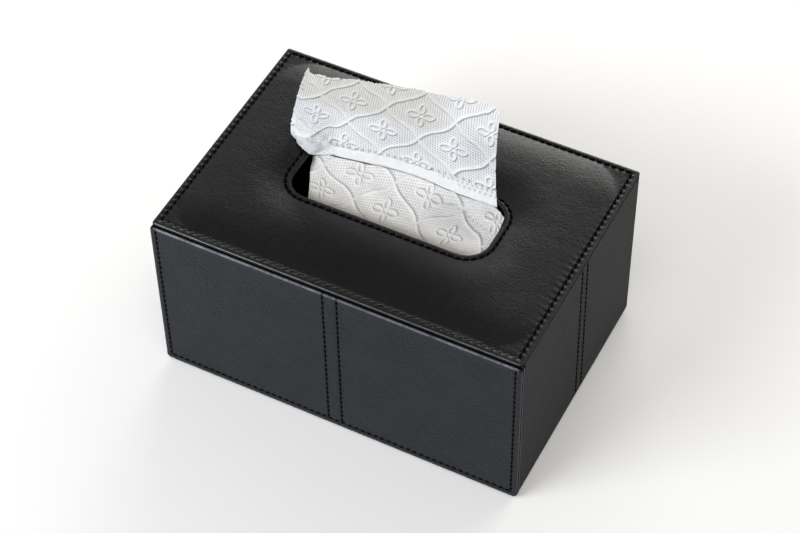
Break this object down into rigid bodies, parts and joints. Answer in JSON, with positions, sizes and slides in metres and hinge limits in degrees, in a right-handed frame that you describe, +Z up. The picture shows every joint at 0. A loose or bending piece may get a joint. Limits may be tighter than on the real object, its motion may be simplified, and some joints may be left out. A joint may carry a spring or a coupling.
{
  "type": "tissue box with drawer",
  "caption": "Rectangular leather-covered tissue box with a padded slotted lid and a tray drawer that fills its front; a tissue stands out of the slot.",
  "frame": {"origin": "centre of the bounding box's base, on the surface the box stands on", "axes": "+X to the right along the drawer front, -Y out of the drawer front, +Z up"},
  "size_m": [0.2316, 0.1608, 0.1807],
  "materials": {
    "lid_leather": "fine pebble grain, soft satin sheen",
    "front_leather": "fine pebble grain, satin, slightly cool dark grey",
    "wall_leather": "fine pebble grain, satin",
    "thread": "waxed twisted sewing thread",
    "board": "fibreboard dyed black all through",
    "base_plate": "matte black fibre sheet",
    "base_felt": "pressed felt",
    "lining": "brushed microsuede",
    "foam": "soft foam",
    "tissue": "soft embossed tissue paper"
  },
  "bodies": {
    "shell": {"base_felt": "base_felt", "base_plate": "base_plate", "floor_board": "board", "floor_lining": "lining", "left_wall_board": "board", "right_wall_board": "board", "back_wall_board": "board", "wall_cover": "wall_leather", "wall_lining": "lining", "top_board": "board", "top_lining": "lining", "top_pad": "foam", "top_cover": "lid_leather", "slot_facing": "lid_leather", "top_border_thread": "thread", "slot_thread": "thread", "left_seam_thread": "thread", "right_seam_thread": "thread", "back_seam_thread": "thread", "tissue_next_sheet": "tissue"},
    "drawer": {"drawer_front_board": "board", "drawer_front_cover": "front_leather", "drawer_front_lining": "lining", "drawer_border_thread": "thread", "drawer_seam_thread": "thread", "drawer_base_board": "board", "drawer_left_side": "board", "drawer_right_side": "board", "drawer_back_wall": "board", "drawer_floor_lining": "lining", "drawer_wall_lining": "lining", "drawer_glide_felts": "base_felt", "tissue_stack": "tissue"},
    "popup_sheet": {"tissue_popup_sheet": "tissue"}
  },
  "joints": [
    {"name": "drawer_slide", "type": "slide", "parent": "shell", "child": "drawer", "axis": [0, -1, 0], "range_m": [0, 0.145]},
    {"name": "popup_pull", "type": "slide", "parent": "shell", "child": "popup_sheet", "axis": [0, 0, 1], "range_m": [0, 0.06]}
  ]
}
